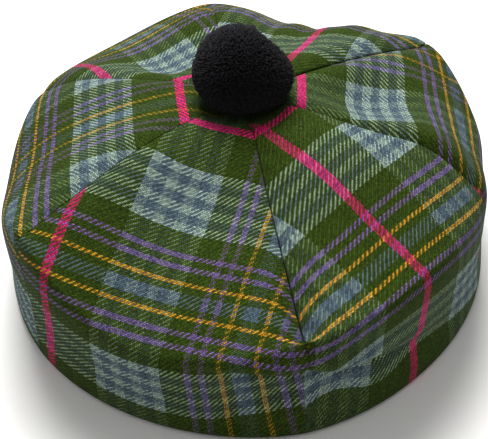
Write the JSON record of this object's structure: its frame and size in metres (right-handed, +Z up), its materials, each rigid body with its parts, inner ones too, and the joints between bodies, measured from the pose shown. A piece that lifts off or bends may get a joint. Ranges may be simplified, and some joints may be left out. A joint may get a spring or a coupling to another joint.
{
  "type": "tam o'shanter",
  "caption": "Soft round tartan wool cap: six puffed gores over a wide rim, a band in the head opening and a yarn pompom on the crown.",
  "frame": {"origin": "on the surface that the hat rests on, below the middle of its outline", "axes": "+Z up through the pompom, -Y towards the front of the hat as the picture shows it, +X to its right"},
  "size_m": [0.2772, 0.298, 0.1443],
  "materials": {
    "tartan_wool": "matt brushed wool twill, green, pale grey and blue-grey, with purple, yellow and pink lines",
    "pompom_yarn": "matt black cut wool pile"
  },
  "bodies": {
    "root": {"crown_gore_left": "tartan_wool", "crown_gore_front_left": "tartan_wool", "crown_gore_front_right": "tartan_wool", "crown_gore_right": "tartan_wool", "crown_gore_back_right": "tartan_wool", "crown_gore_back_left": "tartan_wool", "headband": "tartan_wool", "pompom": "pompom_yarn"}
  },
  "joints": []
}
